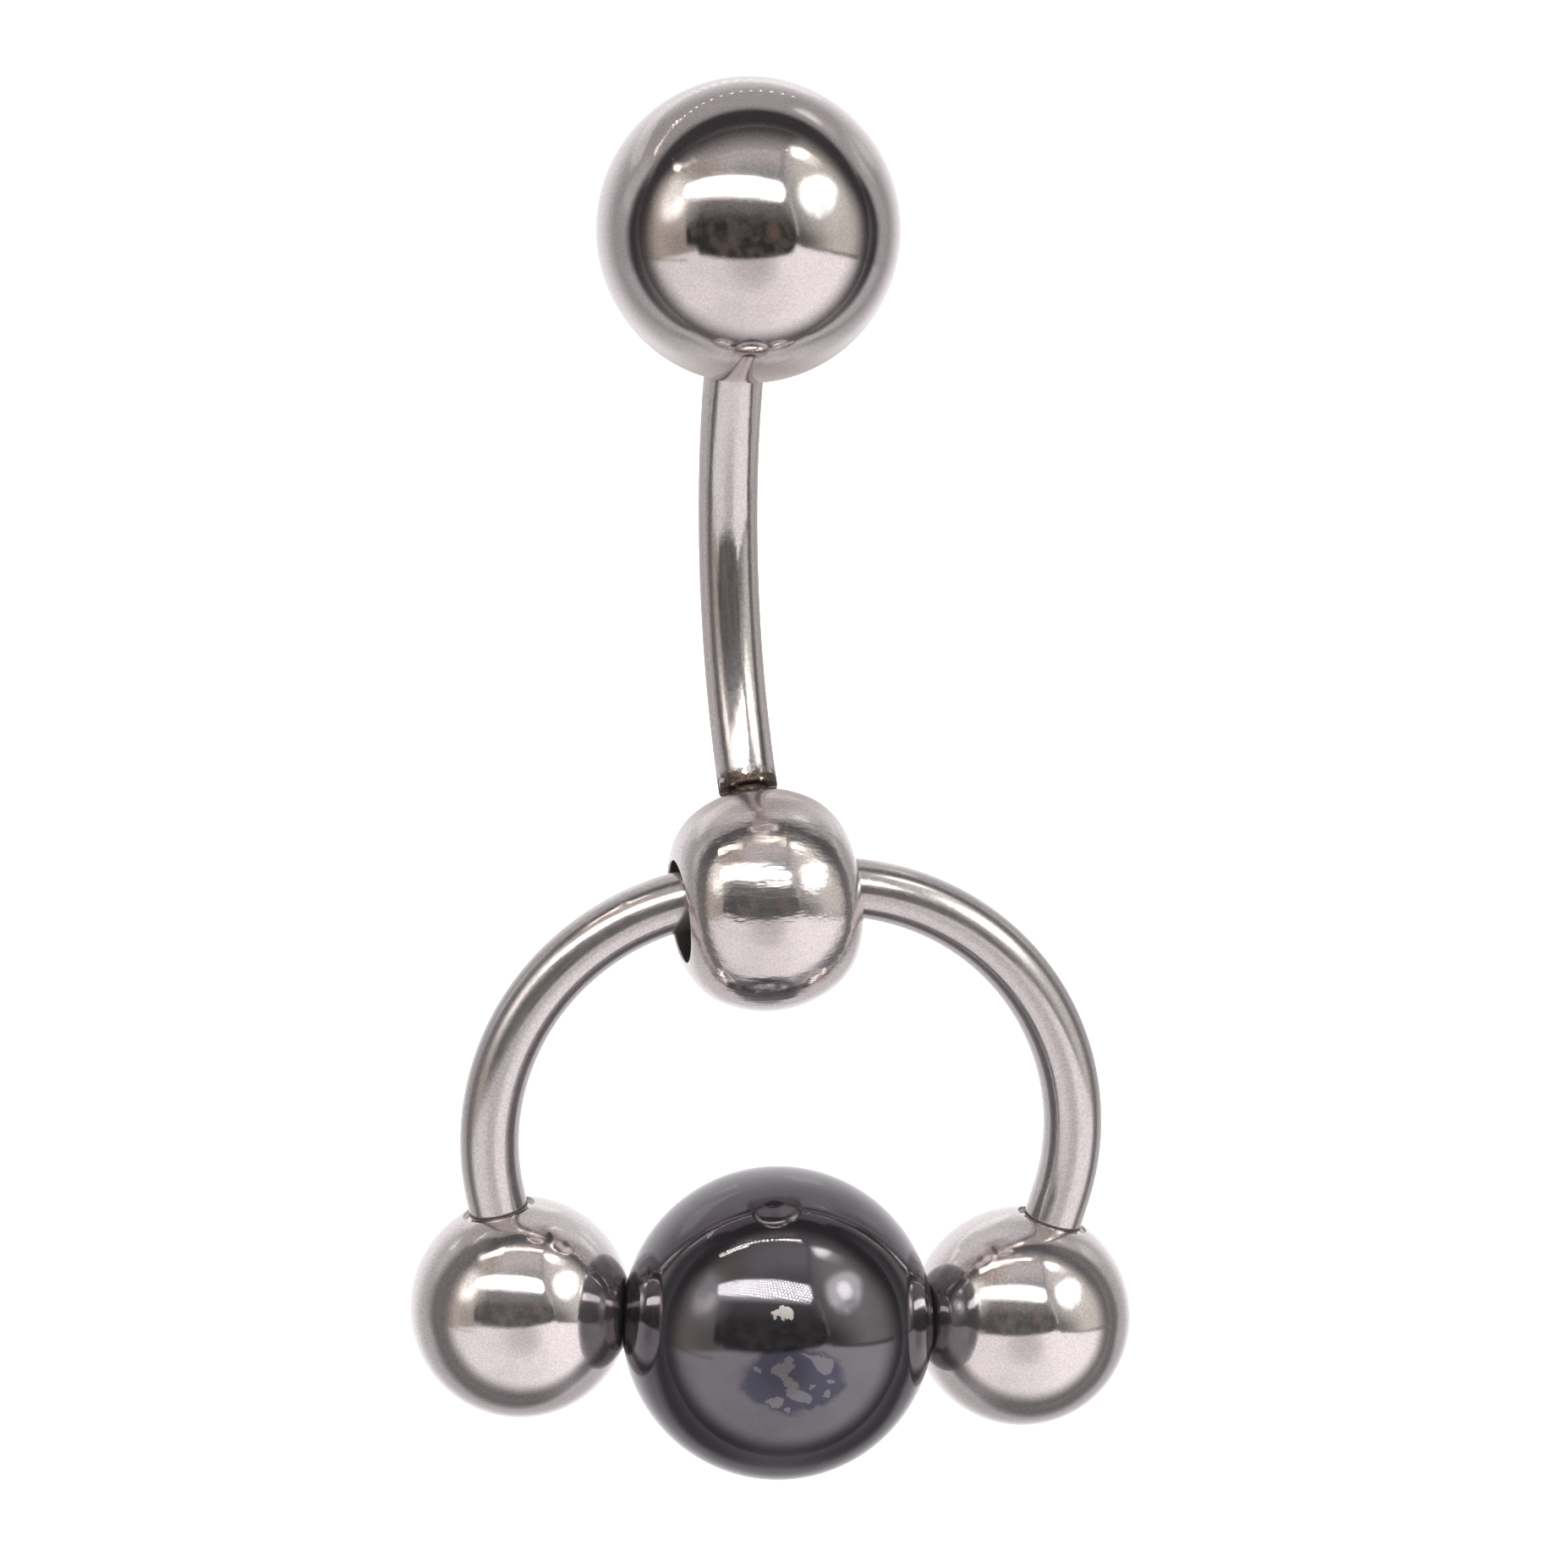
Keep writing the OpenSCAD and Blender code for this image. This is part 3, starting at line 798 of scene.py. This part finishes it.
def piece(name, mesh, place, body, finish, node):
    """Puts a mesh made in millimetres in its place, and lets it stand for a CAD node."""
    mesh.transform(Matrix.Diagonal((MM, MM, MM, 1)) @ place)
    mesh.materials.clear()
    mesh.materials.append(finish)
    mesh.shade_smooth()
    mesh.set_sharp_from_angle(angle=math.radians(SHARP_EDGE))
    made = bpy.data.objects.new(name, mesh)
    bpy.context.scene.collection.objects.link(made)
    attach(made, body)
    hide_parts(node)


def skin(work, rings):
    """Faces between each ring of points and the next. A pole is a ring of one point, repeated."""
    sides = len(rings[0])
    for low, high in zip(rings, rings[1:]):
        for k in range(sides):
            corners = [low[k], low[(k + 1) % sides], high[(k + 1) % sides], high[k]]
            work.faces.new([c for i, c in enumerate(corners) if c is not corners[i - 1]])


def lathe(name, outline, sides, ring=False):
    """Turns an outline of (radius, height) round Z. It starts and ends on the axis, or is a ring."""
    work = bmesh.new()
    rings = []
    for radius, height in outline:
        if radius < 1e-9:
            rings.append([work.verts.new((0, 0, height))] * sides)
        else:
            rings.append([work.verts.new((radius * math.cos(2 * math.pi * k / sides),
                                          radius * math.sin(2 * math.pi * k / sides), height))
                          for k in range(sides)])
    skin(work, rings + rings[:1] if ring else rings)
    return as_mesh(name, work)


def arc(centre, radius, start, end, count):
    """Points of an arc, with the angle in degrees from the outline's axis of height."""
    angles = [math.radians(start + (end - start) * k / count) for k in range(count + 1)]
    return [(max(0.0, centre[0] + radius * math.sin(a)), centre[1] + radius * math.cos(a)) for a in angles]


def rounded(before, corner, after, size):
    """A corner of an outline, rounded in five steps by a length along each of its two sides."""
    a, c, b = Vector(before), Vector(corner), Vector(after)
    start, end = c + (a - c).normalized() * size, c + (b - c).normalized() * size
    points = []
    for k in range(6):
        t = k / 5
        points.append(tuple(start * (1 - t) ** 2 + c * (2 * t * (1 - t)) + end * t ** 2))
    return points


BALL_EDGE, MOUTH_EDGE, BORE_EDGE = 0.035, 0.02, 0.07


def screwed_ball(name, ball_d, rows=112, sides=192):
    """A ball with a flat-bottomed mouth and a hole for a post, along +Z."""
    radius, mouth, hole = ball_d / 2, MOUTH_D / 2, POST_D / 2 + POST_GAP
    flat = flat_at(ball_d)
    bottom = flat - POST_LENGTH - TIP_GAP
    rim_angle = math.degrees(math.asin(mouth / radius) + BALL_EDGE / radius)
    rim = (mouth, math.sqrt(radius ** 2 - mouth ** 2))
    outline = arc((0, 0), radius, 180, rim_angle, rows)
    outline += rounded(outline[-1], rim, (mouth, flat), BALL_EDGE)[1:]
    outline += rounded(rim, (mouth, flat), (hole, flat), MOUTH_EDGE)
    outline += rounded((mouth, flat), (hole, flat), (hole, 0), MOUTH_EDGE)
    outline += [(hole, bottom), (0, bottom)]
    return lathe(name, outline, sides)


piece("top_ball_polished", screwed_ball("top_ball", TOP_BALL_D, 128, 224), top_ball_place,
      "barbell", steel, "top_ball")
piece("left_end_ball_polished", screwed_ball("left_end_ball", END_BALL_D), left_ball_place,
      "hoop", end_steel, "left_end_ball")
piece("right_end_ball_polished", screwed_ball("right_end_ball", END_BALL_D), right_ball_place,
      "hoop", end_steel, "right_end_ball")


def drop_ball():
    """The ball with its bore along Z and round shoulders at the bore's two mouths."""
    radius, bore = DROP_BALL_D / 2, BORE_D / 2
    bend = math.radians(BORE_SHOULDER)
    shoulder = (BORE_ACROSS / 2 - radius * math.cos(bend)) / (1 - math.cos(bend))
    beside = (radius - shoulder) * math.sin(bend)
    along = (radius - shoulder) * math.cos(bend)
    mouth_angle = math.asin((bore - beside) / shoulder)
    mouth = along + shoulder * math.cos(mouth_angle)
    upper = arc((beside, along), shoulder, BORE_SHOULDER,
                math.degrees(mouth_angle + BORE_EDGE / shoulder), 24)
    upper += rounded(upper[-1], (bore, mouth), (bore, 0), BORE_EDGE)[1:]
    lower = [(r, -z) for r, z in reversed(upper)]
    outline = lower + arc((0, 0), radius, 180 - BORE_SHOULDER, BORE_SHOULDER, 64)[1:-1] + upper
    outline += [(bore, mouth * (1 - k / 6)) for k in range(1, 12)]
    return lathe("drop_ball", outline, 224, ring=True)


def post_hole():
    """What is cut out of the drop ball for the bar: a round hole and the flat-bottomed mouth."""
    hole, mouth, flat, beyond = POST_D / 2 + POST_GAP, MOUTH_D / 2, flat_at(DROP_BALL_D), 4
    outline = [(0, 0), (hole, 0), (hole, flat), (mouth, flat), (mouth, beyond), (0, beyond)]
    return lathe("post_hole", outline, 96)


def cut(mesh, place, cutter, cutter_place):
    """Takes a cutter out of a mesh; both places are in the same frame."""
    mesh.transform(place)
    cutter.transform(cutter_place)
    target = bpy.data.objects.new("cut_target", mesh)
    tool = bpy.data.objects.new("cut_tool", cutter)
    for made in (target, tool):
        bpy.context.scene.collection.objects.link(made)
    step = target.modifiers.new("cut", "BOOLEAN")
    step.operation, step.solver, step.object = "DIFFERENCE", "EXACT", tool
    depsgraph = bpy.context.evaluated_depsgraph_get()
    result = bpy.data.meshes.new_from_object(target.evaluated_get(depsgraph))
    for made in (target, tool):
        bpy.data.objects.remove(made)
    return result


piece("drop_ball_polished", cut(drop_ball(), bore_place, post_hole(), drop_ball_place), Matrix.Identity(4),
      "barbell", worn_steel, "drop_ball")


def bead():
    """The bead, whose rings bend towards its two seats so that each seat is round and crisp."""
    radius, seat_ball = BEAD_D / 2, END_BALL_D / 2 + SEAT_GAP
    sides, seat_rows, edge_rows, half_rows = 256, 12, 3, 75
    seat_angle, seat_edge = math.asin(SEAT_D / 2 / radius), 0.012
    # Between these angles from the axis the rings straighten
    straight_from, straight_in = 0.5, 1.5
    drop_to_bead = bead_at - drop_at
    to_left = (left_from_drop - drop_to_bead).normalized()
    to_right = (right_from_drop - drop_to_bead).normalized()
    axis = (to_left - to_right).normalized()
    down = (to_left + to_right).normalized()
    side = axis.cross(down)
    dip = to_left.angle(axis)
    angles = [seat_angle * k / seat_rows for k in range(seat_rows + 1)]
    angles += [seat_angle + seat_edge * k / edge_rows for k in range(1, edge_rows + 1)]
    edge_angle = angles[-1]
    rest = math.pi / 2 - edge_angle
    angles += [edge_angle + rest * k / half_rows for k in range(1, half_rows + 1)]
    angles += [math.pi - a for a in reversed(angles[:-1])]
    work = bmesh.new()
    rings = []
    for angle in angles:
        near = min(angle, math.pi - angle)
        eased = min(1, max(0, (near - straight_from) / (straight_in - straight_from)))
        lean = dip * (1 - eased ** 2 * (3 - 2 * eased)) * (1 if angle < math.pi / 2 else -1)
        middle = axis * math.cos(lean) + down * math.sin(lean)
        out = middle.cross(side).normalized()
        far = radius
        if near <= seat_angle:
            reach = seat_reach * math.cos(near)
            far = reach - math.sqrt(max(0.0, reach ** 2 - seat_reach ** 2 + seat_ball ** 2))
        count = 1 if near < 1e-9 else sides
        ring = []
        for k in range(count):
            around = 2 * math.pi * k / sides
            flank = out * math.cos(around) + side * math.sin(around)
            ring.append(work.verts.new((middle * math.cos(angle) + flank * math.sin(angle)) * far))
        rings.append(ring * (sides // count))
    skin(work, rings)
    bmesh.ops.recalc_face_normals(work, faces=work.faces)
    return as_mesh("bead", work)


piece("bead_polished", bead(), Matrix.Translation(bead_at), "hoop", hematite(), "bead")


# The two wires, swept along their routes by Geometry Nodes


def wire_tree():
    """A wire along a route, with a thinner post at each end and rounded shoulders."""
    tree = bpy.data.node_groups.new("wire_with_posts", "GeometryNodeTree")
    tree.interface.new_socket(name="Wire", in_out="OUTPUT", socket_type="NodeSocketGeometry")

    def asked(name, kind, value=None):
        made = tree.interface.new_socket(name=name, in_out="INPUT", socket_type=kind)
        if value is not None:
            made.default_value = value

    asked("Route", "NodeSocketGeometry")
    for name in ("Wire diameter", "Post diameter", "First post", "Last post", "Shoulder rounding"):
        asked(name, "NodeSocketFloat", 0.001)
    asked("Sides", "NodeSocketInt", 64)
    asked("Finish", "NodeSocketMaterial")
    sweep = Nodes(tree)
    given = sweep.node("NodeGroupInput").node.outputs

    def captured(geometry, kind, name, value):
        made = tree.nodes.new("GeometryNodeCaptureAttribute")
        made.capture_items.new(kind, name)
        sweep.feed(made.inputs[0], geometry)
        sweep.feed(made.inputs[1], value)
        return made.outputs[0], made.outputs[1]

    # How thick the wire is along its route
    here = sweep.node("GeometryNodeSplineParameter", out="Length")
    whole = sweep.node("GeometryNodeSplineLength", out="Length")
    half_wire = sweep.times(given["Wire diameter"], 0.5)
    before_last = sweep.minus(sweep.minus(whole, given["Last post"]), here)
    past = sweep.math("MINIMUM", sweep.minus(here, given["First post"]), before_last)
    ease = sweep.math("SUBTRACT", 1.0, sweep.math("DIVIDE", past, given["Shoulder rounding"]), clamp=True)
    drop = sweep.minus(1.0, sweep.math("SQRT", sweep.minus(1.0, sweep.times(ease, ease))))
    thick = sweep.minus(half_wire, sweep.times(drop, given["Shoulder rounding"]))
    on_post = sweep.math("LESS_THAN", past, 0.0)
    post = sweep.times(sweep.times(given["Post diameter"], 0.5), on_post)
    radius = sweep.plus(post, sweep.times(thick, sweep.minus(1.0, on_post)))

    route, along = captured(sweep.node("GeometryNodeMeshToCurve", Mesh=given["Route"]),
                            "FLOAT", "along", here)
    circle = sweep.node("GeometryNodeCurvePrimitiveCircle", Resolution=given["Sides"], Radius=1.0)
    circle, around = captured(circle, "VECTOR", "around", sweep.node("GeometryNodeInputPosition"))
    swept = sweep.node("GeometryNodeCurveToMesh", Curve=route, Profile_Curve=circle, Scale=radius,
                       Fill_Caps=True)

    # The finish reads where a point would be if the wire were straight
    flank = sweep.node("ShaderNodeSeparateXYZ", sweep.vector("SCALE", around, Scale=half_wire)).node.outputs
    straight = sweep.node("ShaderNodeCombineXYZ", flank[0], flank[1], along)
    stored = sweep.node("GeometryNodeStoreNamedAttribute", Geometry=swept, Name="along_wire", Value=straight,
                        settings={"data_type": "FLOAT_VECTOR", "domain": "POINT"})
    whole_wire = sweep.node("GeometryNodeRealizeInstances", Geometry=stored)
    sweep.end("NodeGroupOutput",
              sweep.node("GeometryNodeSetMaterial", Geometry=whole_wire, Material=given["Finish"]))
    return tree


WIRE_TREE = wire_tree()
SHOULDER_EDGE = 0.05
WIRE_SIDES = 72
NUDGE = 0.0005


def wire(name, route, diameter, first_post, last_post, finish):
    """Sweeps a route of points in millimetres and gives a plain mesh, in millimetres."""
    mesh = bpy.data.meshes.new(name)
    mesh.from_pydata([p * MM for p in route], [(k, k + 1) for k in range(len(route) - 1)], [])
    made = bpy.data.objects.new(name, mesh)
    bpy.context.scene.collection.objects.link(made)
    sweep = made.modifiers.new("wire", "NODES")
    sweep.node_group = WIRE_TREE
    values = {"Wire diameter": diameter * MM, "Post diameter": POST_D * MM, "First post": first_post * MM,
              "Last post": last_post * MM, "Shoulder rounding": SHOULDER_EDGE * MM, "Sides": WIRE_SIDES,
              "Finish": finish}
    for item in WIRE_TREE.interface.items_tree:
        if item.in_out == "INPUT" and item.name in values:
            sweep[item.identifier] = values[item.name]
    depsgraph = bpy.context.evaluated_depsgraph_get()
    result = bpy.data.meshes.new_from_object(made.evaluated_get(depsgraph))
    bpy.data.objects.remove(made)
    result.transform(Matrix.Diagonal((1 / MM, 1 / MM, 1 / MM, 1)))
    work = bmesh.new()
    work.from_mesh(result)
    bmesh.ops.recalc_face_normals(work, faces=work.faces)
    work.to_mesh(result)
    work.free()
    return result


def stretch(start, end, count):
    return [start.lerp(end, k / count) for k in range(count + 1)]


def post_points(start, end):
    """The points of a post and of the rounding of its shoulder, from the tip on."""
    ahead = (end - start).normalized()
    points = [start, start + ahead * (2 * NUDGE)]
    points += stretch(start + ahead * 0.1, end - ahead * 0.1, 6)
    points += [end - ahead * NUDGE]
    points += [end + ahead * SHOULDER_EDGE * (NUDGE + k / 6) for k in range(7)]
    return points


def bar_route():
    """From the tip in the drop ball to the tip in the top ball, in the bar's frame."""
    def at(angle):
        return Vector((0, BAR_BEND * math.sin(angle), -BAR_BEND * math.cos(angle)))
    low, high = at(-bar_half), at(bar_half)
    ahead_low = Vector((0, math.cos(bar_half), -math.sin(bar_half)))
    ahead_high = Vector((0, math.cos(bar_half), math.sin(bar_half)))
    rounding = 0.055 / BAR_BEND
    first = post_points(low - ahead_low * (BAR_NECK + DROP_POST_LENGTH), low)
    last = list(reversed(post_points(high + ahead_high * (SHOULDER_GAP + POST_LENGTH), high)))
    middle = [at(-bar_half + rounding + (2 * bar_half - 2 * rounding) * k / 220) for k in range(221)]
    return first + middle[1:-1] + last


def hoop_route():
    """From the tip in the left end ball to the tip in the right one, in the hoop's frame."""
    def bend(side, angle):
        return Vector((side * (HOOP_CROWN / 2 + HOOP_BEND * math.cos(angle)),
                       -HOOP_BEND + HOOP_BEND * math.sin(angle), 0))
    halves = []
    for side, wrap, leg in ((-1, left_wrap, LEFT_LEG), (1, right_wrap, RIGHT_LEG)):
        foot = bend(side, -wrap)
        down = Vector((-side * math.sin(wrap), -math.cos(wrap), 0))
        step_at = foot + down * leg
        tip = step_at + down * (SHOULDER_GAP + POST_LENGTH)
        half = post_points(tip, step_at) + stretch(step_at - down * 0.06, foot, 6)[1:]
        half += [bend(side, -wrap + (wrap + math.pi / 2) * k / 200) for k in range(1, 201)]
        halves.append(half)
    left, right = halves
    crown = stretch(left[-1], right[-1], 12)[1:-1]
    return left + crown + list(reversed(right))


piece("bar_polished", wire("bar_wire", bar_route(), BAR_D, BAR_NECK + DROP_POST_LENGTH,
                           SHOULDER_GAP + POST_LENGTH, bar_steel), bar_place,
      "barbell", bar_steel, "bar")
piece("hoop_polished", wire("hoop_wire", hoop_route(), WIRE_D, SHOULDER_GAP + POST_LENGTH,
                            SHOULDER_GAP + POST_LENGTH, wire_steel), hoop_place,
      "hoop", wire_steel, "hoop")
